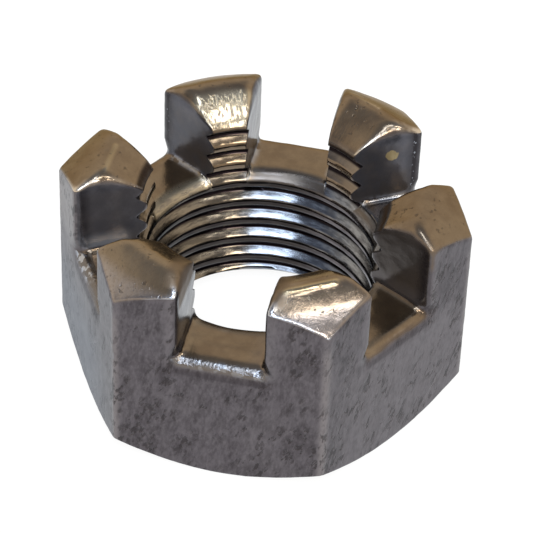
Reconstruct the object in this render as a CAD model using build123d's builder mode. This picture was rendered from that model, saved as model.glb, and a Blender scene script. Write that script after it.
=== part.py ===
import os
from math import radians, tan

from build123d import *

os.makedirs("parts", exist_ok=True)

# hexagon with its corners on X, seated on z = 0
across_flats = 20.6
height = 13.2
corner_round = 0.25

# hole at the crests of its thread, with a countersink under it
bore_radius = 6.5
countersink_width = 1.0
countersink_depth = 0.95

# cone that takes the corners off below, rising from the edge of the bearing face
seat_radius = 10.1
seat_slope = 37

# crown: a narrow ridge between the outer cone and the mouth of the hole
ridge_outer_radius = 9.3
ridge_inner_radius = 8.9
crown_slope = 31.5
mouth_width = 0.4
mouth_depth = 0.5
ridge_round = 0.6
mouth_round = 0.4

# slots from each flat to the opposite one, their floors rolling over a lip into the hole
slot_width = 4.76
slot_depth = 5.1
slot_corner = 0.4
lip_width = 0.9
lip_round = 1.05

# edges rounded where the slots cut the flats, and broken all round each prong's top
slot_edge_round = 0.33
crown_edge_break = 0.18

corner_radius = across_flats / 3**0.5
countersink_radius = bore_radius + countersink_width
mouth_radius = bore_radius + mouth_width
lip_radius = bore_radius + lip_width
floor_height = height - slot_depth
slot_turns = (0, 60, 120)
slot_planes = [Plane.XZ.rotated((0, 0, turn)) for turn in slot_turns]
clearance = 1
tolerance = 1e-3


def rise(run, slope):
    return run * tan(radians(slope))


seat_top = rise(corner_radius - seat_radius, seat_slope)
crown_foot = height - rise(corner_radius - ridge_outer_radius, crown_slope)
mouth_top = height - rise(ridge_inner_radius - mouth_radius, crown_slope)
mouth_foot = mouth_top - mouth_depth


def points(edge, turn=0):
    return [(edge @ share).rotate(Axis.Z, -turn) for share in (0, 0.5, 1)]


def lowest(edge):
    return min(point.Z for point in points(edge))


def on_flat(edge, half_width=corner_radius):
    return any(
        all(
            abs(abs(point.Y) - across_flats / 2) < tolerance and abs(point.X) < half_width + tolerance
            for point in points(edge, turn)
        )
        for turn in slot_turns
    )


def on_wall(edge):
    return any(
        all(abs(abs(point.X) - slot_width / 2) < tolerance for point in points(edge, turn)) for turn in slot_turns
    )


# three crossed bars, their underside following the floor and its lip
with BuildPart() as bars:
    with BuildSketch(*slot_planes):
        with Locations((0, floor_height - lip_round)):
            Rectangle(slot_width, slot_depth + lip_round + clearance, align=(Align.CENTER, Align.MIN))
    extrude(amount=corner_radius, both=True)
    with BuildSketch(Plane.XZ):
        with BuildLine():
            lip = RadiusArc(
                (lip_radius - lip_round, floor_height - lip_round), (lip_radius, floor_height), lip_round
            )
            Polyline(
                lip @ 1,
                (corner_radius + clearance, floor_height),
                (corner_radius + clearance, height + clearance),
                (0, height + clearance),
                (0, floor_height - lip_round),
                lip @ 0,
            )
        make_face()
    revolve(axis=Axis.Z, mode=Mode.INTERSECT)
    underside = bars.edges().filter_by(lambda edge: lowest(edge) < floor_height + tolerance)
    fillet(underside.filter_by(on_wall), slot_corner)

with BuildPart() as castle_nut:
    with BuildSketch():
        RegularPolygon(across_flats / 2, 6, major_radius=False)
    extrude(amount=height)
    fillet(castle_nut.edges().filter_by(Axis.Z), corner_round)

    with BuildSketch(Plane.XZ):
        with BuildLine():
            Polyline(
                (bore_radius, countersink_depth),
                (countersink_radius, 0),
                (seat_radius, 0),
                (corner_radius, seat_top),
                (corner_radius, crown_foot),
                (ridge_outer_radius, height),
                (ridge_inner_radius, height),
                (mouth_radius, mouth_top),
                (bore_radius, mouth_foot),
                close=True,
            )
        make_face()
        fillet(vertices().group_by(Axis.Y)[-1], ridge_round)
        fillet(vertices().sort_by_distance((mouth_radius, mouth_top))[0], mouth_round)
    revolve(axis=Axis.Z, mode=Mode.INTERSECT)

    add(bars.part, mode=Mode.SUBTRACT)
    slot_rims = castle_nut.edges().filter_by(lambda edge: on_flat(edge, slot_width / 2))
    fillet(slot_rims.filter_by(lambda edge: lowest(edge) > floor_height - tolerance), slot_edge_round)
    crown_rims = castle_nut.edges().filter_by(lambda edge: on_flat(edge) or on_wall(edge))
    chamfer(crown_rims.filter_by(lambda edge: lowest(edge) > mouth_foot - tolerance), crown_edge_break)

castle_nut.part.label = "castle_nut"
export_step(castle_nut.part, "parts/castle_nut.step")
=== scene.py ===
import math

import bpy
import numpy as np
from mathutils import Matrix, Vector


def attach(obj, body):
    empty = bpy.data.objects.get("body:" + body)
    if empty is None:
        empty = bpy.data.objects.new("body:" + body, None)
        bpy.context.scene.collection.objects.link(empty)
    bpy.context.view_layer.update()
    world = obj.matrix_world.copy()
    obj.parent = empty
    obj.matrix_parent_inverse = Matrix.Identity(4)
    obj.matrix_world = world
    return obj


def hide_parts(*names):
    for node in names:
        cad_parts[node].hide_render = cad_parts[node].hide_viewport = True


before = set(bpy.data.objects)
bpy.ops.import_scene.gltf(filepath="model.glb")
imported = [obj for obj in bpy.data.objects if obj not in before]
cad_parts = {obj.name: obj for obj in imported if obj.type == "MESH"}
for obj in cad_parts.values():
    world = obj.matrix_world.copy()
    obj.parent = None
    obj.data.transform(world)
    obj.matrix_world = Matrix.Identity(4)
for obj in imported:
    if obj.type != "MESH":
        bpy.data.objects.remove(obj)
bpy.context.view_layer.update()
scene = bpy.context.scene
mm = 0.001
print("frame loaded")


class Value:
    # a socket that carries a number: sums and products on it add Math nodes
    def __init__(self, graph, socket):
        self.graph = graph
        self.socket = socket

    def math(self, operation, *others):
        inputs = dict(enumerate((self, *others)))
        return self.graph.node("ShaderNodeMath", {"operation": operation}, inputs)

    def out(self, name):
        return Value(self.graph, self.socket.node.outputs[name])

    def between(self, low, high, first=0.0, last=1.0):
        inputs = {"Value": self, "From Min": low, "From Max": high, "To Min": first, "To Max": last}
        return self.graph.node("ShaderNodeMapRange", {"interpolation_type": "SMOOTHSTEP"}, inputs)

    def __add__(self, other):
        return self.math("ADD", other)

    def __mul__(self, other):
        return self.math("MULTIPLY", other)

    def __sub__(self, other):
        return self.math("SUBTRACT", other)

    def __rsub__(self, other):
        return self.graph.node("ShaderNodeMath", {"operation": "SUBTRACT"}, {0: other, 1: self})

    def __truediv__(self, other):
        return self.math("DIVIDE", other)

    def __rtruediv__(self, other):
        return self.graph.node("ShaderNodeMath", {"operation": "DIVIDE"}, {0: other, 1: self})

    __radd__ = __add__
    __rmul__ = __mul__


class Graph:
    def __init__(self, tree):
        self.tree = tree

    def feed(self, socket, value):
        source = value.socket if isinstance(value, Value) else value
        if isinstance(source, bpy.types.NodeSocket):
            self.tree.links.new(source, socket)
        else:
            socket.default_value = source

    def node(self, kind, settings=None, sockets=None, out=0):
        made = self.tree.nodes.new(kind)
        for name, value in (settings or {}).items():
            setattr(made, name, value)
        for name, value in (sockets or {}).items():
            self.feed(made.inputs[name], value)
        return Value(self, made.outputs[out]) if len(made.outputs) else made

    def mix(self, share, first, second):
        return self.node("ShaderNodeMix", {"data_type": "RGBA"}, {0: share, 6: first, 7: second}, out=2)

    def noise(self, place, size, detail, roughness, seed):
        sockets = {"Vector": place, "Scale": 1 / size, "Detail": detail, "Roughness": roughness, "W": seed}
        return self.node("ShaderNodeTexNoise", {"noise_dimensions": "4D"}, sockets)

    def stretch(self, place, turn, longer):
        # marks drawn on the result lie at that turn, in degrees, and are that much longer there
        sockets = {"Vector": place, "Rotation": (0, 0, math.radians(turn)), "Scale": (longer, 1, 1)}
        return self.node("ShaderNodeMapping", {"vector_type": "TEXTURE"}, sockets)

    def vector(self, operation, first, second=None, scale=None, out=0):
        sockets = {0: first}
        if second is not None:
            sockets[1] = second
        if scale is not None:
            sockets["Scale"] = scale
        return self.node("ShaderNodeVectorMath", {"operation": operation}, sockets, out=out)

    def place(self, x, y, z=0.0):
        return self.node("ShaderNodeCombineXYZ", None, {"X": x, "Y": y, "Z": z})

    def split(self, place):
        x = self.node("ShaderNodeSeparateXYZ", None, {"Vector": place})
        return x, x.out("Y"), x.out("Z")

    def mark(self, name):
        return self.node("ShaderNodeAttribute", {"attribute_name": name}, out="Fac")


# the camera, solved from the corners of the hexagon and the slots
cameraPlan = {
    "azimuth": 11.634,
    "elevation": 40.981,
    "roll": 2.028,
    "distance": 0.16192,
    "target": (0, 0, 0.00618),
    "lens": 191.6,
    "sensor": 36,
    "shift": (0.01045, 0.01372),
    "nearest": 0.01,
}


def makeCamera(plan):
    data = bpy.data.cameras.new("camera")
    camera = bpy.data.objects.new("camera", data)
    scene.collection.objects.link(camera)
    azimuth, elevation, roll = (math.radians(plan[name]) for name in ("azimuth", "elevation", "roll"))
    back = Vector((
        math.sin(azimuth) * math.cos(elevation),
        -math.cos(azimuth) * math.cos(elevation),
        math.sin(elevation),
    ))
    right = (-back).cross(Vector((0, 0, 1))).normalized()
    up = right.cross(-back)
    turned = Matrix.Rotation(roll, 3, back)
    axes = Matrix((turned @ right, turned @ up, back)).transposed().to_4x4()
    axes.translation = Vector(plan["target"]) + back * plan["distance"]
    camera.matrix_world = axes
    data.sensor_width = plan["sensor"]
    data.lens = plan["lens"]
    data.shift_x, data.shift_y = plan["shift"]
    data.clip_start = plan["nearest"]
    scene.camera = camera


makeCamera(cameraPlan)
print("camera set")


# sizes of the nut in millimetres and degrees, as in the solid; countersink and mouth are a width and a depth, each of
# the rounds is a radius and how far the faces turn, and rimRounds holds distances from the axis and the radii there
nut = {
    "acrossFlats": 20.6,
    "height": 13.2,
    "boreRadius": 6.5,
    "countersink": (1.0, 0.95),
    "seatRadius": 10.1,
    "seatSlope": 37,
    "ridgeOuter": 9.3,
    "ridgeInner": 8.9,
    "crownSlope": 31.5,
    "crownBow": 0.08,
    "bowRadii": (10.3, 7.9),
    "ridgeSpread": 0.12,
    "mouth": (0.4, 0.5),
    "slotWidth": 4.76,
    "slotDepth": 5.1,
    "lipWidth": 0.9,
    "lipRound": 1.05,
    "rounds": {
        "corner": (0.25, 60),
        "crown": (0.34, 60),
        "ridge": (1.5, 31.5),
        "mouth": (0.4, 24),
        "bore": (0.3, 35),
        "sink": (0.15, 46),
        "seat": (0.15, 55),
        "bearing": (0.15, 50),
        "slot": (0.4, 90),
    },
    "rimRounds": ((6.6, 7.2, 8.0, 8.8, 9.6, 10.3, 10.8), (0.08, 0.2, 0.5, 0.85, 0.7, 0.42, 0.3)),
    "bead": {"round": 0.5, "height": 0.9, "start": 9.4, "run": 0.8},
}
# the right-hand thread: its crest and flanks as shares of the pitch, and the rows of the mesh that follow it to a
# pitch, which have to be a multiple of the copies for their seams to meet
thread = {
    "pitch": 1.4111,
    "depth": 0.57,
    "crestShare": 3 / 14,
    "flankShare": 5 / 14,
    "crestBow": 1.2,
    "crestFoot": 4.438,
    "rootRound": 0.05,
    "rows": 12,
}
copies = 6
halfTurn = math.radians(180 / copies)
halfFlats = nut["acrossFlats"] / 2
halfSlot = nut["slotWidth"] / 2
floorHeight = nut["height"] - nut["slotDepth"]
countersinkRadius = nut["boreRadius"] + nut["countersink"][0]
mouthRadius = nut["boreRadius"] + nut["mouth"][0]
facetLength = nut["acrossFlats"] / math.sqrt(3)
crownSlope = math.radians(nut["crownSlope"])
mouthTop = nut["height"] - (nut["ridgeInner"] - mouthRadius) * math.tan(crownSlope)
mouthFoot = mouthTop - nut["mouth"][1]
lipRadius = nut["boreRadius"] + nut["lipWidth"]
lipMeet = floorHeight - nut["lipRound"] + math.sqrt(nut["lipRound"] ** 2 - nut["lipWidth"] ** 2)


def reach(radius, turn):
    # how far a soft maximum has to reach for a fillet of that radius between faces that turn by that angle
    return 4 * radius * (1 - math.cos(math.radians(turn) / 2))


def softMax(first, second, width):
    overlap = np.maximum(width - np.abs(first - second), 0) / width
    return np.maximum(first, second) + overlap * overlap * width / 4


def solidDistance(points):
    # negative inside one sixth of the nut, without its thread; the sixth lies either side of a corner on +X
    x, y, z = points.T
    radius = np.hypot(x, y)
    side = np.abs(y)
    seatSlope = math.radians(nut["seatSlope"])
    mouthSlope = math.atan2(mouthTop - mouthFoot, nut["mouth"][0])
    sinkSlope = math.atan2(nut["countersink"][1], nut["countersink"][0])
    near = x * math.cos(halfTurn) + side * math.sin(halfTurn) - halfFlats
    far = x * math.cos(halfTurn) - side * math.sin(halfTurn) - halfFlats
    spread = nut["ridgeSpread"]
    above = z - nut["height"]
    outerBow, innerBow = (nut["crownBow"] * (radius - middle) ** 2 for middle in nut["bowRadii"])
    outer = (radius - nut["ridgeOuter"] - spread) * math.sin(crownSlope) + above * math.cos(crownSlope) + outerBow
    inner = (nut["ridgeInner"] - spread - radius) * math.sin(crownSlope) + above * math.cos(crownSlope) + innerBow
    mouth = (mouthRadius - radius) * math.sin(mouthSlope) + (z - mouthTop) * math.cos(mouthSlope)
    seat = (radius - nut["seatRadius"]) * math.sin(seatSlope) - z * math.cos(seatSlope)
    sink = (countersinkRadius - radius) * math.sin(sinkSlope) - z * math.cos(sinkSlope)
    faces = (
        (far, "corner"), (outer, "crown"), (above, "ridge"), (inner, "ridge"), (mouth, "mouth"),
        (nut["boreRadius"] - radius, "bore"), (sink, "sink"), (seat, "seat"), (-z, "bearing"),
    )
    body = near
    for face, rounding in faces:
        body = softMax(body, face, reach(*nut["rounds"][rounding]))

    offset = np.abs(side * math.cos(halfTurn) - x * math.sin(halfTurn))
    level = z - floorHeight
    inward = lipRadius - nut["lipRound"] - radius
    lip = nut["lipRound"]
    floor = np.minimum(np.maximum(level, inward), -lip) + np.hypot(
        np.maximum(level + lip, 0), np.maximum(inward + lip, 0)
    )
    slot = -softMax(-floor, offset - halfSlot, reach(*nut["rounds"]["slot"]))
    bead = nut["bead"]
    beadShare = np.clip(1 - level / bead["height"], 0, 1) * np.clip((radius - bead["start"]) / bead["run"], 0, 1)
    rim = np.interp(radius, *nut["rimRounds"]) + bead["round"] * beadShare
    return softMax(body, slot, reach(rim, 90))


# how points are moved onto the surface: tries, the step that the slope is taken over, and limits to each move
settling = {"tries": 10, "step": 1e-3, "leastSlope": 0.2, "longest": 0.25}


def settle(points):
    # moves points onto the surface, along its gradient
    step = settling["step"]
    for _ in range(settling["tries"]):
        value = solidDistance(points)
        slope = np.stack([
            (solidDistance(points + shift) - solidDistance(points - shift)) / (2 * step)
            for shift in np.eye(3) * step
        ], 1)
        squared = np.maximum((slope * slope).sum(1), settling["leastSlope"])
        move = slope * (value / squared)[:, None]
        size = np.linalg.norm(move, axis=1)[:, None]
        points = points - move * np.minimum(1, settling["longest"] / np.maximum(size, 1e-9))
    return points


def spaced(length, count, head=(), tail=()):
    # distances from 0 to length in count steps, the first and last of them given
    first = [0.0, *head]
    last = [length - part for part in reversed(tail)] + [length]
    middle = np.linspace(first[-1], last[0], count - len(head) - len(tail) + 1)[1:-1]
    return np.array([*first, *middle, *last])


# how finely the sixth is divided: steps near an edge in millimetres, the fan's angles in degrees, counts of faces,
# and how far points beside the hole follow the thread
grid = {
    "edge": (0.05, 0.12, 0.2, 0.3, 0.42, 0.56),
    "seatEdge": (0.05, 0.12, 0.2, 0.3),
    "slotOffsets": (2.38, 2.0, 1.64, 1.3, 1.0, 0.74, 0.54, 0.39, 0.27, 0.17, 0.08, 0),
    "prongAngles": (0, 0.8, 1.8, 3, 4.5, 6.5, 9, 11.6, 14.2, 16.8, 19.2, 21.4, 23.4, 25.2, 26.7, 27.9, 28.8, 29.5),
    "lip": 9,
    "top": 34,
    "innerSlope": 12,
    "ridge": 10,
    "ridgeMargin": 0.3,
    "below": 26,
    "cone": 5,
    "face": 9,
    "rowsUnder": 2,
    "lipRows": 10,
    "leastRow": 0.3,
    "followRadius": 7.6,
    "followDepth": 1.2,
}


def columnPlanes():
    # each column is a vertical plane: along the slots in steps of offset, and through the prong in a fan
    planes = []
    for side in (-1, 1):
        along = np.array([math.cos(halfTurn), side * math.sin(halfTurn)])
        across = np.array([math.sin(halfTurn), -side * math.cos(halfTurn)])
        offsets = [halfSlot - part for part in grid["slotOffsets"]]
        planes.append([("slot", across * offset, along, offset / halfSlot) for offset in offsets])
    apex = np.array([halfSlot / math.sin(halfTurn), 0])
    limit = math.degrees(halfTurn)
    half = [limit - part for part in grid["prongAngles"]]
    angles = np.radians([-part for part in half] + [0.0] + half[::-1])
    fan = [("prong", apex, np.array([math.cos(angle), math.sin(angle)]), 1.0) for angle in angles]
    return planes[0], fan, planes[1][::-1]


def alongTo(origin, direction, radius):
    lean = origin @ direction
    return math.sqrt(radius**2 - origin @ origin + lean**2) - lean


def alongToFlat(origin, direction):
    normal = np.array([math.cos(halfTurn), math.copysign(math.sin(halfTurn), direction[1])])
    return (halfFlats - origin @ normal) / (direction @ normal)


rowStep = thread["pitch"] / thread["rows"]
crestFootShare = (thread["crestFoot"] - thread["pitch"] / 4) / thread["pitch"]
crestCentre = (crestFootShare + thread["crestShare"] / 2) % 1
rowShift = ((crestCentre + 0.5 + 0.5 / thread["rows"]) * thread["rows"] % 1) * rowStep
rowCount = math.ceil((mouthTop - rowShift) / rowStep) + grid["rowsUnder"] + 1
lipRow = round((lipMeet - rowShift) / rowStep) + grid["rowsUnder"]
wallRows = rowCount - lipRow


def boreRows(kind, origin, direction, blend):
    # heights of the rows up the hole, which rise with the thread and close up at its ends
    along = alongTo(origin, direction, nut["boreRadius"])
    place = origin + along * direction
    turn = math.atan2(place[1], place[0])
    rows = np.arange(rowCount + 1)
    lead = thread["pitch"] * turn / math.tau
    heights = (rows - grid["rowsUnder"]) * rowStep + rowShift + lead
    shift = lipMeet - heights[lipRow]
    heights = heights + shift * blend * np.clip(1 - np.abs(rows - lipRow) / grid["lipRows"], 0, 1)
    top = lipMeet if kind == "slot" else mouthTop
    least = grid["leastRow"] * rowStep
    heights = np.clip(heights, 0, top)
    heights[heights < least] = 0
    heights[heights > top - least] = top
    return heights


def boreRadiusAt(height):
    sink, depth = nut["countersink"]
    radius = nut["boreRadius"] + np.clip(1 - height / depth, 0, 1) * sink
    return radius + np.clip((height - mouthFoot) / (mouthTop - mouthFoot), 0, 1) * nut["mouth"][0]


def columnLoop(kind, origin, direction, blend):
    # the outline of the nut in one plane: up the hole, over the top, down the flat and back under it
    heights = boreRows(kind, origin, direction, blend)
    loop = [(alongTo(origin, direction, radius), z) for radius, z in zip(boreRadiusAt(heights), heights)]
    end = alongToFlat(origin, direction)
    corner = np.linalg.norm(origin + end * direction)
    edge = grid["edge"]
    if kind == "slot":
        start = math.asin((lipMeet - floorHeight) / nut["lipRound"] + 1)
        arc = np.linspace(start, math.pi / 2, grid["lip"] + 1)[1:]
        radii = lipRadius - nut["lipRound"] * np.cos(arc)
        lift = floorHeight - nut["lipRound"] * (1 - np.sin(arc))
        loop += [(alongTo(origin, direction, radius), z) for radius, z in zip(radii, lift)]
        begin = loop[-1][0]
        floor = spaced(end - begin, grid["top"] - grid["lip"], (), edge)[1:]
        loop += [(begin + part, floorHeight) for part in floor]
    else:
        ridgeStart, ridgeEnd = nut["ridgeInner"] - grid["ridgeMargin"], nut["ridgeOuter"] + grid["ridgeMargin"]
        radii = [
            *np.linspace(mouthRadius, ridgeStart, grid["innerSlope"]),
            *np.linspace(ridgeStart, ridgeEnd, grid["ridge"])[1:],
        ]
        rest = spaced(corner - ridgeEnd, grid["top"] + 1 - len(radii), (), edge)[1:]
        for radius in [*radii[1:], *(ridgeEnd + rest)]:
            run = max(nut["ridgeInner"] - radius, radius - nut["ridgeOuter"], 0)
            loop.append((alongTo(origin, direction, radius), nut["height"] - run * math.tan(crownSlope)))
        above = spaced(loop[-1][1] - floorHeight, wallRows, edge, edge)
        loop += [(end, floorHeight + part) for part in above[::-1][1:]]
    seatRise = math.tan(math.radians(nut["seatSlope"]))
    below = spaced(floorHeight - (corner - nut["seatRadius"]) * seatRise, grid["below"], edge, grid["seatEdge"])[1:]
    loop += [(end, floorHeight - part) for part in below]
    for radius in np.linspace(corner, nut["seatRadius"], grid["cone"] + 1)[1:]:
        loop.append((alongTo(origin, direction, radius), (radius - nut["seatRadius"]) * seatRise))
    for radius in np.linspace(nut["seatRadius"], countersinkRadius, grid["face"] + 1)[1:-1]:
        loop.append((alongTo(origin, direction, radius), 0))
    flat = np.array(loop)
    return np.column_stack([origin + flat[:, :1] * direction, flat[:, 1]])


def makeSixth():
    lower, fan, upper = columnPlanes()
    points, faces, driving, lean = [], [], [], []

    def place(block, direction, leaders):
        # adds points, and notes for each the bore point that leads its row and how its plane leans from the radius
        start = len(points)
        points.extend(block)
        driving.extend(leaders)
        lean.extend([math.atan2(direction[1], direction[0])] * len(block))
        return start + np.arange(len(block))

    groups = []
    for planes in (lower, fan, upper):
        loops = []
        for plane in planes:
            block = columnLoop(*plane)
            loops.append(place(block, plane[2], [-1] * len(block)))
        for first, second in zip(loops, loops[1:]):
            faces += zip(first, np.roll(first, -1), np.roll(second, -1), second)
        groups.append(loops)

    # the slots' walls, spanned between the floor's loop and the prong's
    top = grid["top"]
    u = np.linspace(0, 1, top + 1)[None, :, None]
    v = np.linspace(0, 1, wallRows + 1)[:, None, None]
    walls = ((groups[0][-1], groups[1][0], lower[0][2], 1), (groups[2][0], groups[1][-1], upper[0][2], -1))
    for slotLoop, prongLoop, direction, outward in walls:
        floor = slotLoop[rowCount : rowCount + top + 1]
        crown = prongLoop[rowCount : rowCount + top + 1]
        inner = prongLoop[lipRow : rowCount + 1]
        outer = prongLoop[rowCount + top : rowCount + top + wallRows + 1][::-1]
        corners = np.array(points)
        low, high, left, right = (corners[list(ids)] for ids in (floor, crown, inner, outer))
        patch = (1 - v) * low[None] + v * high[None] + (1 - u) * left[:, None] + u * right[:, None]
        patch = patch - (1 - v) * ((1 - u) * low[0] + u * low[-1]) - v * ((1 - u) * high[0] + u * high[-1])
        rows = [place(list(line), direction, [leader] * len(line)) for line, leader in zip(patch, inner)]
        for below, above in zip(rows, rows[1:]):
            faces += [cell[::outward] for cell in zip(below, below[1:], above[1:], above)]

    points = settle(np.array(points))
    driving = np.array(driving)
    leaders = np.where(driving < 0, np.arange(len(points)), driving)
    radius = np.hypot(points[:, 0], points[:, 1])
    leadRadius = radius[leaders]
    fading = np.clip(1 - (radius - leadRadius) / grid["followDepth"], 0, 1)
    follow = np.where(driving < 0, radius <= grid["followRadius"], fading)
    swing = np.array(lean) - np.arctan2(points[:, 1], points[:, 0])
    return points, faces, {"leadRadius": leadRadius * mm, "follow": follow, "swing": swing}


def meshOf(name, points, faces, values):
    mesh = bpy.data.meshes.new(name)
    mesh.from_pydata(points.tolist(), [], np.array(faces).tolist())
    for key, data in values.items():
        attribute = mesh.attributes.new(key, "FLOAT", "POINT")
        attribute.data.foreach_set("value", np.asarray(data, np.float32))
    return mesh


# the worn surface: lengths in millimetres, where its noise starts to count, and its seed
wear = {"merge": 0.002, "waver": 0.06, "waverSize": 0.9, "waverStart": 0.35, "seed": 4.0}
# the inputs of the tree of nodes: the kind of each and its value
treeInputs = {
    "Copies": ("Int", copies),
    "Merge Distance": ("Float", wear["merge"] * mm),
    "Pitch": ("Float", thread["pitch"] * mm),
    "Thread Depth": ("Float", thread["depth"] * mm),
    "Thread Radius": ("Float", nut["boreRadius"] * mm),
    "Root Round": ("Float", thread["rootRound"] * mm),
    "Crest Share": ("Float", thread["crestShare"]),
    "Flank Share": ("Float", thread["flankShare"]),
    "Crest Place": ("Float", crestCentre),
    "Crest Bow": ("Float", thread["crestBow"]),
    "Waver": ("Float", wear["waver"] * mm),
    "Waver Size": ("Float", wear["waverSize"] * mm),
    "Waver Start": ("Float", wear["waverStart"]),
    "Seed": ("Float", wear["seed"]),
}


def nutTree():
    # repeats the sixth about the axis, cuts the thread by its rule and lets the surface wander a little
    tree = bpy.data.node_groups.new("castleNutTree", "GeometryNodeTree")
    graph = Graph(tree)
    kinds = {"Geometry": "Geometry", "Material": "Material"}
    kinds |= {name: kind for name, (kind, value) in treeInputs.items()}
    for name, kind in kinds.items():
        tree.interface.new_socket(name, in_out="INPUT", socket_type="NodeSocket" + kind)
    tree.interface.new_socket("Geometry", in_out="OUTPUT", socket_type="NodeSocketGeometry")
    wanted = graph.node("NodeGroupInput").out

    dots = graph.node("GeometryNodePoints", None, {"Count": wanted("Copies")})
    turn = graph.place(0, 0, graph.node("GeometryNodeInputIndex") * math.tau / wanted("Copies"))
    ring = graph.node("GeometryNodeInstanceOnPoints", None, {
        "Points": dots, "Instance": wanted("Geometry"), "Rotation": turn,
    })
    whole = graph.node("GeometryNodeRealizeInstances", None, {"Geometry": ring})
    merging = {"Geometry": whole, "Distance": wanted("Merge Distance")}
    whole = graph.node("GeometryNodeMergeByDistance", None, merging)

    spot = graph.node("GeometryNodeInputPosition")
    x, y, z = graph.split(spot)
    angle, radius = y.math("ARCTAN2", x), (x * x + y * y).math("SQRT")
    phase = (z / wanted("Pitch") - angle / math.tau - wanted("Crest Place")).math("FRACT")
    fromRoot = (phase - 0.5).math("ABSOLUTE") * 2
    rootSide = 1 - wanted("Crest Share")
    cut = ((rootSide - fromRoot) / (wanted("Flank Share") * 2)).math("MAXIMUM", 0).math("MINIMUM", 1)
    groove = wanted("Thread Radius") + wanted("Thread Depth") * cut.math("POWER", wanted("Crest Bow"))
    lead, follow, swing = (
        graph.node("GeometryNodeInputNamedAttribute", {"data_type": "FLOAT"}, {"Name": name})
        for name in ("leadRadius", "follow", "swing")
    )
    away = groove.math("SMOOTH_MAX", lead, wanted("Root Round")) - lead
    away = away * follow / swing.math("COSINE")
    push = (away / radius) * swing.math("COSINE")
    slide = (away / radius) * swing.math("SINE")
    offset = graph.place(x * push - y * slide, y * push + x * slide)
    cutNut = graph.node("GeometryNodeSetPosition", None, {"Geometry": whole, "Offset": offset})

    wander = graph.noise(spot, wanted("Waver Size"), 2.0, 0.5, wanted("Seed"))
    depth = (wander.math("MAXIMUM", wanted("Waver Start")) - wanted("Waver Start")) * wanted("Waver") * -1
    sink = graph.vector("SCALE", graph.node("GeometryNodeInputNormal"), scale=depth)
    uneven = graph.node("GeometryNodeSetPosition", None, {"Geometry": cutNut, "Offset": sink})
    real = graph.node("GeometryNodeRealizeInstances", None, {"Geometry": uneven})
    coated = graph.node("GeometryNodeSetMaterial", None, {"Geometry": real, "Material": wanted("Material")})
    graph.node("NodeGroupOutput", None, {"Geometry": coated})
    return tree


def makeNut(material):
    points, faces, values = makeSixth()
    print("sixth of the nut:", len(points), "points,", len(faces), "faces")
    sixth = bpy.data.objects.new("sixth", meshOf("sixth", points * mm, faces, values))
    scene.collection.objects.link(sixth)
    modifier = sixth.modifiers.new("castleNut", "NODES")
    modifier.node_group = nutTree()
    given = {"Material": material} | {name: value for name, (kind, value) in treeInputs.items()}
    for item in modifier.node_group.interface.items_tree:
        if item.in_out == "INPUT" and item.name in given:
            modifier[item.identifier] = given[item.name]
    graph = bpy.context.evaluated_depsgraph_get()
    mesh = bpy.data.meshes.new_from_object(sixth.evaluated_get(graph), depsgraph=graph)
    bpy.data.objects.remove(sixth)
    whole = bpy.data.objects.new("castleNut", mesh)
    scene.collection.objects.link(whole)
    print("whole nut:", len(mesh.vertices), "points,", len(mesh.polygons), "faces")
    return whole


def smoothStep(value, low, high):
    share = np.clip((value - low) / (high - low), 0, 1)
    return share * share * (3 - 2 * share)


def pointsAndNormals(mesh):
    points, normals = np.empty((2, 3 * len(mesh.vertices)), np.float32)
    mesh.vertices.foreach_get("co", points)
    mesh.vertex_normals.foreach_get("vector", normals)
    return points.reshape(-1, 3) / mm, normals.reshape(-1, 3)


# raised dashes on the crown: the ends of each, on the surface, its half width and its height
dashes = (
    ((3.25, -8.9, 13.18), (5.6, -7.42, 13.18), 0.36, 0.12),
    ((-8.75, 0.85, 13.1), (-8.75, -1.35, 13.1), 0.26, 0.06),
    ((4.9, 8.0, 13.1), (3.1, 9.05, 13.1), 0.26, 0.04),
)


def raiseDashes(mesh):
    # lifts the points near each dash along their own normals
    points, normals = pointsAndNormals(mesh)
    for first, last, halfWidth, lift in dashes:
        way = np.subtract(last, first)
        share = np.clip((points - first) @ way / (way @ way), 0, 1)
        away = np.linalg.norm(points - first - share[:, None] * way, axis=1)
        points = points + normals * (lift * smoothStep(away, halfWidth, 0))[:, None]
    mesh.vertices.foreach_set("co", np.asarray(points * mm, np.float32).ravel())
    mesh.update()


# where each kind of face starts and is full: how far its normal leans that way, its radius, or how sharply it bends;
# then the margins round the walls and the slots, in millimetres
faceKinds = {
    "flats": (0.8, 0.97),
    "walls": (0.75, 0.96),
    "film": (0.3, 0.75),
    "hole": (7.5, 7.2),
    "bends": (0.25, 1.1),
    "sharpest": 4,
    "smoothings": 2,
    "wallMargin": 0.6,
    "slotMargin": 0.05,
    "topMargin": 0.1,
    "topFade": 0.2,
    "firstFacet": 2,
}


def surfaceBends(mesh, points, normals):
    # positive along ridges and negative along hollows
    edges = np.empty(2 * len(mesh.edges), np.int32)
    mesh.edges.foreach_get("vertices", edges)
    one, other = edges.reshape(-1, 2).T
    step = points[other] - points[one]
    squared = np.maximum((step * step).sum(1), 1e-6)
    bend, joined = np.zeros((2, len(points)))
    for near, sign in ((one, -1), (other, 1)):
        np.add.at(bend, near, sign * (normals[near] * step).sum(1) / squared)
        np.add.at(joined, near, 1)
    bend = np.clip(bend / np.maximum(joined, 1), -faceKinds["sharpest"], faceKinds["sharpest"])
    for _ in range(faceKinds["smoothings"]):
        smoothed = bend * 2
        np.add.at(smoothed, one, bend[other])
        np.add.at(smoothed, other, bend[one])
        bend = smoothed / (joined + 2)
    return bend


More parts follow.
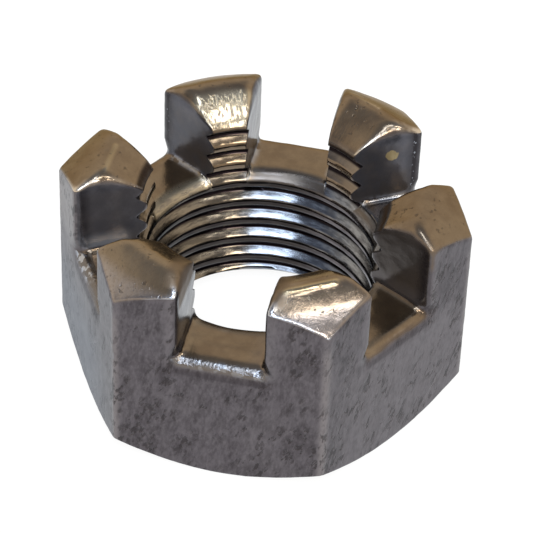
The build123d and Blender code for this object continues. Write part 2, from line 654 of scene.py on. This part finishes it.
def surfaceMarks(mesh):
    # what the finish needs to know about each point: the kind of face it is on, and how its surface bends
    points, normals = pointsAndNormals(mesh)
    x, y, height = points.T
    sixthTurn = math.tau / copies
    angle = np.arctan2(y, x)
    radius = np.hypot(x, y)
    middle = np.round(angle / sixthTurn) * sixthTurn
    turn = angle - middle
    forward = normals[:, 0] * np.cos(middle) + normals[:, 1] * np.sin(middle)
    sideways = (normals[:, 1] * np.cos(middle) - normals[:, 0] * np.sin(middle)) * np.where(turn < 0, -1, 1)

    flats = smoothStep(forward * math.cos(halfTurn) + sideways * math.sin(halfTurn), *faceKinds["flats"])
    walls = smoothStep(np.abs(forward * math.sin(halfTurn) - sideways * math.cos(halfTurn)), *faceKinds["walls"])
    margin = faceKinds["wallMargin"]
    walls = walls * (radius > mouthRadius - margin) * (height > floorHeight - margin)
    inSlot = np.abs(radius * np.sin(halfTurn - np.abs(turn))) < halfSlot - faceKinds["slotMargin"]
    top = np.where(inSlot, lipMeet - faceKinds["topMargin"], mouthFoot + faceKinds["topMargin"])
    fade = smoothStep(height, top + faceKinds["topFade"], top)
    hole = smoothStep(radius, *faceKinds["hole"]) * fade * (1 - walls)
    film = smoothStep(normals[:, 2], *faceKinds["film"]) * (1 - hole)
    bend = surfaceBends(mesh, points, normals)

    first = faceKinds["firstFacet"]
    facet = np.floor(((angle - first * sixthTurn) % math.tau) / sixthTurn)
    facing = (facet + first + 0.5) * sixthTurn
    around = facet * facetLength + y * np.cos(facing) - x * np.sin(facing)
    values = {
        "flats": flats, "walls": walls, "hole": hole, "film": film, "around": around,
        "ridges": smoothStep(bend, *faceKinds["bends"]), "hollows": smoothStep(-bend, *faceKinds["bends"]),
    }
    for name, data in values.items():
        attribute = mesh.attributes.new(name, "FLOAT", "POINT")
        attribute.data.foreach_set("value", np.asarray(data, np.float32))


# The finish is mixed from fields, numbers that vary over the surface. A row is a weight and the fields that it is
# multiplied by, each plain or as a smooth step from its first value to its second. Rows in a group are added up.
# Lengths are in millimetres, turns in degrees.
finish = {
    "colours": {
        "flat": (0.125, 0.113, 0.124, 1),
        "flatDark": (0.058, 0.051, 0.056, 1),
        "flatPale": (0.185, 0.17, 0.18, 1),
        "reflectedBlue": (0.13, 0.145, 0.18, 1),
        "fleck": (0.04, 0.035, 0.036, 1),
        "film": (0.225, 0.175, 0.125, 1),
        "filmDark": (0.175, 0.133, 0.096, 1),
        "filmPale": (0.27, 0.222, 0.165, 1),
        "filmHighlight": (0.5, 0.44, 0.33, 1),
        "frontSheen": (0.33, 0.305, 0.305, 1),
        "cream": (0.72, 0.65, 0.56, 1),
        "wall": (0.07, 0.071, 0.086, 1),
        "wallPale": (0.11, 0.11, 0.13, 1),
        "stainAndShade": (0.068, 0.053, 0.041, 1),
        "thread": (0.29, 0.315, 0.36, 1),
        "threadWarmReflection": (0.25, 0.22, 0.18, 1),
        "threadCrest": (0.15, 0.135, 0.14, 1),
        "threadDark": (0.06, 0.053, 0.05, 1),
        # near black, for dark marks and for painted shade
        "grimeAndShade": (0.014, 0.011, 0.014, 1),
        "edge": (0.34, 0.31, 0.3, 1),
        "bead": (0.175, 0.17, 0.175, 1),
        # a pale blue-white used only for painted highlights and glints
        "glint": (0.5, 0.54, 0.62, 1),
        "lip": (0.1, 0.095, 0.095, 1),
        "chip": (0.3, 0.24, 0.13, 1),
        "dash": (0.46, 0.38, 0.24, 1),
    },
    "bareTint": (0.94, 0.98, 1, 1),
    "oiledTint": (0.55, 0.46, 0.34, 1),
    "oiledMetallic": 0.95,
    "chipSpot": (6.14, 6.3, 11.2),
    "mouthReach": ((11.65, 11.5), (4, 3)),
    "dashPerHeight": 6.0,
    "dashMost": 0.7,
    "spokesRadius": 8.0,
    "ringsRadius": 6.5,
    "ringsRise": 0.2246,
    # each noise: what it is drawn on, its size, detail, roughness and seed, the turn of its marks and their stretch
    "noises": {
        "broad": ("solid", 3.4, 2.0, 0.5, 11.0),
        "cloud": ("sheet", 0.6, 5.0, 0.7, 3.0, 78, 2.2),
        "fleck": ("sheet", 0.3, 3.0, 0.6, 5.0, 66, 2.4),
        "fine": ("solid", 0.16, 2.0, 0.6, 7.0),
        "mottle": ("solid", 0.8, 4.0, 0.6, 9.0),
        "scratch": ("sheet", 0.5, 2.0, 0.5, 13.0, 48, 16),
        "tears": ("spokes", 0.13, 3.0, 0.6, 17.0, 90, 3.5),
        "lines": ("sheet", 0.2, 2.0, 0.5, 19.0, 90, 14),
        "burr": ("solid", 0.42, 2.0, 0.5, 23.0),
        "grain": ("sheet", 0.16, 2.0, 0.6, 29.0, 84, 2.5),
        "rings": ("helix", 0.13, 3.0, 0.6, 31.0, 0, 7),
        "cluster": ("sheet", 1.5, 2.0, 0.5, 37.0, 70, 1.5),
        "specks": ("solid", 0.28, 2.0, 0.5, 41.0),
    },
    # fields made of others, in this order
    "fields": {
        "pitted": ((1, ("fleck", 0.52, 0.6), ("cluster", 0.4, 0.6)),),
        "scored": ((1, ("scratch", 0.68, 0.71)),),
        "speckled": ((1, ("specks", 0.62, 0.69), ("z", 9, 10)),),
        "mottleSwing": ((1, "mottle"), (-0.5,)),
        "ringSwing": ((1, "rings"), (-0.5,)),
        "lumps": ((0.02, "burr"), (0.04, "fine")),
        "rubbing": ((1, "radius"), (0.6, "mottle")),
        "scuffing": ((1, "mottle"), (0.5, "fine")),
        "stainAndShadeing": ((1, "broad"), (0.5, "mottle"), (-0.05, "z")),
        "chipping": ((1, "fromChip"), (0.5, "burr")),
        "crest": ((1, ("radius", 6.62, 6.52)),),
        "seam": ((1, ("outward", 9.66, 9.76), ("outward", 10.0, 9.9), ("y", 1, 3), ("z", 8.2, 8.6)),),
        "slope": ((1, ("radius", 8.75, 8.3), ("z", 10.6, 11.2), "film"),),
        "tornProng": ((1, ("x", -1, -2.5), ("y", 4.5, 6)),),
        "torn": (
            (0.1, ("tears", 0.5, 0.64), "slope", ("radius", 8.5, 7.7)),
            (0.9, ("tears", 0.5, 0.64), "slope", ("radius", 8.5, 7.7), "tornProng"),
        ),
        "mouth": ((1, ("radius", 7.25, 7.0), ("z", 11.1, 11.3), "offWalls", "mouthReach"),),
        "bead": ((1, ("z", 8.06, 7.95), ("z", 7.2, 7.45), ("radius", 9.3, 9.6), "offFlats", ("x", 5, 3.5)),),
        "lip": ((1, ("radius", 7.6, 7.2), ("z", 8.35, 8.05), "offHole", "offWalls"),),
        "rims": ((1, "offFlats", "offWalls", "offHole", "offFilm"),),
        "frontRim": ((1, "ridges", ("y", -9.3, -9.8), ("z", 10.4, 11.0), ("x", -4.6, -3.6), ("film", 0.1, 0.5)),),
        # painted shade that dims highlights on a crown ridge and on the front slot's rims
        "shadedEdges": (
            (1, "ridges", ("x", 7, 8), ("y", 0.5, -0.5), ("z", 10.8, 11.4), ("radius", 10.9, 10.6)),
            (1, ("aside", 3.6, 3.0), ("y", -9.9, -9.6), ("y", -6, -7), ("z", 11, 11.5)),
        ),
        # painted highlight: cream bands on the wall-top rims of two prongs
        "bright": (
            (1, ("x", 3.0, 4.2), ("y", 3.5, 4.5), "ridges", ("z", 11, 11.5), ("film", 0.1, 0.4)),
            (1, ("x", -7.4, -8.0), ("y", -1.2, -1.6), "ridges", ("z", 11, 11.5), ("film", 0.1, 0.4)),
        ),
    },
    # each surface starts in its first colour, and each coat's rows say how much of the coat shows
    "surfaces": {
        "flatSteel": (
            "flatDark",
            ("flat", (1, ("cloud", 0.28, 0.62))),
            ("flatPale", (0.25, ("broad", 0.5, 0.75))),
            ("flatDark", (0.4, ("cluster", 0.5, 0.7))),
            # its second row paints a highlight along the hex corners
            ("flatPale", (0.6, ("across", 3.5, 2.6), ("z", 7.5, 7.9)), (0.6, ("across", 5.35, 5.85))),
            ("flatPale", (0.45, ("x", 5, 8), ("z", 8.5, 6.5))),
            # painted reflection: the left flats paler, most of all high up towards the left corner
            ("flatPale", (1, ("x", -7, -10), ("z", 5, 9, 0.3, 0.75))),
            ("edge", (0.35, ("x", -8.8, -10.3), ("z", 7.5, 9.5))),
            # painted highlight along the hex corners below the crown
            ("edge", (0.3, ("across", 5.5, 5.9), ("z", 11, 10))),
            ("fleck", (0.75, "pitted")),
            ("flatPale", (0.35, "scored")),
            ("flatDark", (1, ("grain", 0.35, 0.5, 0.25, 0))),
            ("flatPale", (0.25, ("grain", 0.5, 0.65))),
        ),
        "oilFilm": (
            "filmDark",
            ("film", (1, ("mottle", 0.3, 0.7))),
            ("filmPale", (0.4, ("broad", 0.45, 0.7))),
            ("filmPale", (0.45, ("x", -1, -3), ("y", -3, -5))),
            # painted reflection: greyer outer crowns on the front prongs
            ("frontSheen", (0.12, ("x", 1, 2), ("y", -6.0, -7.5))),
            ("frontSheen", (0.85, ("rubbing", 10.6, 11.3), ("y", -3.0, -7.0))),
            ("fleck", (0.45, "speckled")),
            ("filmDark", (1, ("fine", 0.35, 0.5, 0.25, 0))),
        ),
        "wallSteel": (
            "wall",
            ("wallPale", (1, ("mottle", 0.4, 0.75))),
            ("stainAndShade", (0.7, ("stainAndShadeing", 0.195, 0.545))),
            ("stainAndShade", (0.75, ("x", 6, 7), ("y", 1, 0))),
            # painted highlight: a streaked glow low on the walls at the far left
            ("glint", (0.5, ("z", 9.5, 8.5), ("x", -7, -8), ("lines", 0.4, 0.6))),
            ("flatPale", (0.3, ("lines", 0.5, 0.66))),
            ("grimeAndShade", (0.3, ("outward", 9.1, 9.9)), (0.8, ("outward", 9.1, 9.9), "burr")),
            ("grimeAndShade", (0.95, "seam")),
            # painted glints sparkling along the seam
            ("glint", (0.6, "seam", ("fine", 0.6, 0.66))),
            ("chip", (1, ("chipping", 0.65, 0.58))),
        ),
        "crestSteel": (
            "threadDark",
            # painted shade and painted reflection: crests dark on the left, paler towards the right
            ("threadCrest", (1, ("x", 0.5, 3))),
        ),
        "threadSteel": (
            "thread",
            # painted reflection: warmer thread on the left
            ("threadWarmReflection", (1, ("x", -1.5, -3))),
            ("crestSteel", (1, "crest")),
            ("grimeAndShade", (1, ("rings", 0.42, 0.6, 0.45, 0))),
            ("film", (0.8, ("z", 7.6, 8.8))),
            # painted shade on the thread's teeth near x 5.5, by the slot floor
            ("stainAndShade", (0.8, ("x", 5.2, 5.8), ("z", 8.3, 8.8))),
            # painted shadow in the thread's roots
            ("grimeAndShade", (1, ("radius", 6.88, 7.0))),
        ),
        "lipSteel": (
            "lip",
            # painted reflection: warmer, paler lips on the left
            ("filmHighlight", (1, ("x", -1.5, -4))),
            ("bead", (0.6, ("rings", 0.52, 0.62))),
        ),
        "whole": (
            "flatSteel",
            ("oilFilm", (1, "film")),
            ("wallSteel", (1, "walls")),
            ("threadSteel", (1, "hole")),
            # painted highlight: pale warm film on the inner slope of the prong at 120 degrees
            ("filmHighlight", (1, "slope", "tornProng", ("radius", 8.7, 7.9, 0.45, 1))),
            ("grimeAndShade", (0.85, "mouth")),
            ("filmDark", (0.5, "torn")),
            ("edge", (0.45, "ridges", "offHole", "offFlats", "film", ("scuffing", 0.6, 0.85))),
            # painted shade in the hollows
            ("grimeAndShade", (0.55, "hollows", "offHole")),
            # painted highlight along the floor-to-wall fillets of the back slots
            ("glint", (0.9, "hollows", "offHole", ("y", 0.5, 2.5), ("z", 8.9, 8.6), ("burr", 0.4, 0.5))),
            # painted shadow on the flats just below each slot's floor bead
            ("grimeAndShade", (0.35, "flats", ("across", 2.75, 2.35), ("z", 7.0, 7.2), ("z", 7.6, 7.35))),
            # painted reflection: bluish floor in the slot at 30 degrees
            ("reflectedBlue", (0.8, ("x", 5, 5.8), ("y", 1, 2), ("radius", 9.4, 8.6), ("z", 9, 8.5), "film")),
            # painted shade on the slots' rims, darkest on the back slots
            ("flatDark", (0.6, "rims", ("across", 4, 3.5))),
            ("grimeAndShade", (0.9, "rims", ("across", 3.1, 2.9), ("z", 8.4, 8.8), ("y", 3, 5))),
            # painted shade over those highlights
            ("filmDark", (0.75, "shadedEdges")),
            # painted highlight in cream on those rim bands
            ("cream", (0.8, "bright")),
            ("bead", (0.9, "bead")),
            # painted glints on the floor beads of the front and front-left slots
            ("glint", (0.3, "bead", ("x", -7, -6), ("burr", 0.5, 0.58))),
            ("glint", (0.8, "bead", ("x", -8, -8.6), ("y", -5.2, -4.4), ("burr", 0.5, 0.56))),
            # painted highlight along a front crown rim
            ("glint", (0.9, "frontRim")),
            ("lipSteel", (0.7, "lip")),
            # painted reflection: bluish left flats
            ("reflectedBlue", (0.6, "flats", ("x", -6, -9), ("z", 8.5, 3))),
            # painted highlight on the raised dashes
            ("dash", (1, "dashed")),
        ),
    },
    "roughness": (
        (0.25,), (0.15, "flats"), (-0.05, "walls"), (-0.08, "hole"), (-0.04, "ridges"), (-0.07, "film"),
        (0.16, "mottleSwing"), (-0.1, "mottleSwing", "film"), (0.15, "torn"), (0.25, "mouth"), (0.1, "lip"),
        (0.2, "ringSwing", "hole"), (0.25, "shadedEdges"), (0.04, "bead"), (0.12, "bright"),
    ),
    "metallic": ((1,), (-0.45, "walls")),
    "relief": (
        (0.005, "fine"), (-0.0035, "fine", "hole"), (-0.03, "pitted", "flats"), (-0.008, "scored", "flats"),
        (0.004, "mottle", "film"), (-0.004, "mottle", "film", "bright"), (-0.02, "torn"),
        (-0.004, "lines", "walls"), (-0.01, "speckled", "film"), (0.05, "fine", "mouth"),
        (1, "lumps", "bead"), (1, "lumps", "frontRim"),
    ),
}


def total(fields, rows):
    # the sum of a group's rows
    whole = 0
    for weight, *factors in rows:
        product = weight
        for factor in factors:
            name, *steps = [factor] if isinstance(factor, str) else factor
            product = product * (fields[name].between(*steps) if steps else fields[name])
        whole = whole + product
    return whole


def dashField(graph, spot, plan):
    # how much of the painted highlight on the dashes shows, by how far each rises there
    strongest = None
    for first, last, halfWidth, lift in dashes:
        way = Vector(last) - Vector(first)
        toSpot = graph.vector("SUBTRACT", spot, first)
        along = graph.vector("DOT_PRODUCT", toSpot, tuple(way.normalized()), out="Value")
        along = along.math("MAXIMUM", 0).math("MINIMUM", way.length)
        nearest = graph.vector("SCALE", tuple(way.normalized()), scale=along)
        away = graph.vector("DISTANCE", toSpot, nearest, out="Value")
        height = away.between(0, halfWidth, lift, 0)
        strongest = height if strongest is None else strongest.math("MAXIMUM", height)
    return (strongest * plan["dashPerHeight"]).math("MINIMUM", plan["dashMost"])


def steelFields(graph, plan):
    # places in millimetres, kinds of face, noises, and the fields made of them
    spot = graph.vector("SCALE", graph.node("ShaderNodeTexCoord", out="Object"), scale=1 / mm)
    x, y, z = graph.split(spot)
    angle, radius = y.math("ARCTAN2", x), (x * x + y * y).math("SQRT")
    fields = {"x": x, "y": y, "z": z, "radius": radius, "aside": x.math("ABSOLUTE")}
    for name in ("flats", "walls", "hole", "film", "ridges", "hollows"):
        fields[name] = graph.mark(name)
    for name in ("flats", "walls", "hole", "film"):
        fields["off" + name.capitalize()] = 1 - fields[name]
    around = graph.mark("around")
    across = ((around / facetLength + 0.5).math("FRACT") - 0.5).math("ABSOLUTE") * facetLength
    fields["across"] = across
    fields["outward"] = (radius * radius - across * across).math("SQRT")
    fields["fromChip"] = graph.vector("DISTANCE", spot, plan["chipSpot"], out="Value")
    below, before = plan["mouthReach"]
    fields["mouthReach"] = z.between(*below).math("MAXIMUM", y.between(*before))
    fields["dashed"] = dashField(graph, spot, plan)

    places = {
        "solid": spot,
        "sheet": graph.place(around, z),
        "spokes": graph.place(angle * plan["spokesRadius"], radius),
        "helix": graph.place(angle * plan["ringsRadius"], z - angle * plan["ringsRise"]),
    }
    for name, (place, size, detail, roughness, seed, *stretch) in plan["noises"].items():
        place = graph.stretch(places[place], *stretch) if stretch else places[place]
        fields[name] = graph.noise(place, size, detail, roughness, seed)
    for name, rows in plan["fields"].items():
        fields[name] = total(fields, rows)
    return fields


def makeSteel(plan):
    steel = bpy.data.materials.new("oiledSteel")
    steel.use_nodes = True
    steel.node_tree.nodes.clear()
    graph = Graph(steel.node_tree)
    fields = steelFields(graph, plan)
    colours = dict(plan["colours"])
    for surface, (base, *coats) in plan["surfaces"].items():
        colours[surface] = colours[base]
        for coat, *rows in coats:
            colours[surface] = graph.mix(total(fields, rows), colours[surface], colours[coat])

    bump = {"Height": total(fields, plan["relief"]), "Distance": mm, "Strength": 1.0}
    shared = {
        "Base Color": colours["whole"],
        "Roughness": total(fields, plan["roughness"]),
        "Normal": graph.node("ShaderNodeBump", None, bump),
    }
    bare = {"Metallic": total(fields, plan["metallic"]), "Specular Tint": plan["bareTint"]}
    oiled = {"Metallic": plan["oiledMetallic"], "Specular Tint": plan["oiledTint"]}
    bare, oiled = (graph.node("ShaderNodeBsdfPrincipled", None, shared | own) for own in (bare, oiled))
    surface = graph.node("ShaderNodeMixShader", None, {0: fields["film"], 1: bare, 2: oiled})
    graph.node("ShaderNodeOutputMaterial", None, {"Surface": surface})
    return steel


# faces that meet at more than this angle, in degrees, keep a sharp edge
sharpAngle = 66
castleNut = makeNut(makeSteel(finish))
raiseDashes(castleNut.data)
castleNut.data.shade_smooth()
castleNut.data.set_sharp_from_angle(angle=math.radians(sharpAngle))
surfaceMarks(castleNut.data)
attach(castleNut, "root")
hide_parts("castle_nut")
print("nut built")


# a pale floor that glows like the paper round the nut
floorPlan = {
    "size": 1.2,
    "surface": {
        "Base Color": (0.12, 0.12, 0.12, 1),
        "Roughness": 0.9,
        "Specular IOR Level": 0.1,
        "Emission Color": (1, 1, 1, 1),
        "Emission Strength": 0.93,
    },
}


def makeFloor(plan):
    half = plan["size"] / 2
    mesh = bpy.data.meshes.new("floor")
    mesh.from_pydata([(-half, -half, 0), (half, -half, 0), (half, half, 0), (-half, half, 0)], [], [(0, 1, 2, 3)])
    floor = bpy.data.objects.new("floor", mesh)
    scene.collection.objects.link(floor)
    material = bpy.data.materials.new("paleFloor")
    material.use_nodes = True
    shader = material.node_tree.nodes["Principled BSDF"]
    for name, value in plan["surface"].items():
        shader.inputs[name].default_value = value
    mesh.materials.append(material)


# each soft lamp's direction, the way its length runs, its length and width in metres, its power and its colour
lampReach = 0.5
lamps = {
    "warm": {
        "way": (0.405, -0.16, 0.9),
        "along": (0.23, 0.16, -0.08),
        "size": (0.2, 0.052),
        "power": 0.34,
        "colour": (1, 0.96, 0.89),
    },
    "cool": {
        "way": (0, -0.2, 0.975),
        "along": (0, 1, 0),
        "size": (0.2, 0.09),
        "power": 0.4,
        "colour": (0.78, 0.88, 1),
    },
    "front": {
        "way": (0.07, -0.62, 0.78),
        "along": (1, 0, 0),
        "size": (0.27, 0.18),
        "power": 1.04,
        "colour": (0.78, 0.88, 1),
    },
    "beside": {
        "way": (0.5, -0.54, 0.67),
        "along": (0.64, 0.77, 0),
        "size": (0.12, 0.12),
        "power": 0.55,
        "colour": (1, 0.9, 0.75),
    },
}


def makeLamps(plans):
    for name, plan in plans.items():
        data = bpy.data.lights.new(name, "AREA")
        data.shape = "RECTANGLE"
        data.size, data.size_y = plan["size"]
        data.energy = plan["power"]
        data.color = plan["colour"]
        lamp = bpy.data.objects.new(name, data)
        way = Vector(plan["way"]).normalized()
        across = way.cross(Vector(plan["along"])).normalized()
        axes = Matrix((across.cross(way), across, way)).transposed().to_4x4()
        axes.translation = way * lampReach
        lamp.matrix_world = axes
        scene.collection.objects.link(lamp)


# the world is bright round the horizon and dimmer overhead and ahead, with smooth steps where one turns into the next
worldPlan = {
    "horizon": (0.98, 0.86, 0.7, 1),
    "overhead": (0.3, 0.32, 0.36, 1),
    "ahead": (0.2, 0.22, 0.27, 1),
    "overheadUp": (0.6, 0.95),
    "aheadUp": (0.4, 0.7),
    "aheadY": (-0.1, -0.45),
}


def makeWorld(plan):
    world = bpy.data.worlds.new("studio")
    world.use_nodes = True
    world.node_tree.nodes.clear()
    graph = Graph(world.node_tree)
    way = graph.node("ShaderNodeTexCoord", out="Generated")
    x, y, up = graph.split(way)
    colour = graph.mix(up.between(*plan["overheadUp"]), plan["horizon"], plan["overhead"])
    ahead = up.between(*plan["aheadUp"]) * y.between(*plan["aheadY"])
    colour = graph.mix(ahead, colour, plan["ahead"])
    light = graph.node("ShaderNodeBackground", None, {"Color": colour, "Strength": 1.0})
    graph.node("ShaderNodeOutputWorld", None, {"Surface": light})
    scene.world = world


makeFloor(floorPlan)
makeLamps(lamps)
makeWorld(worldPlan)
scene.view_settings.view_transform = "Standard"
print("stage set")
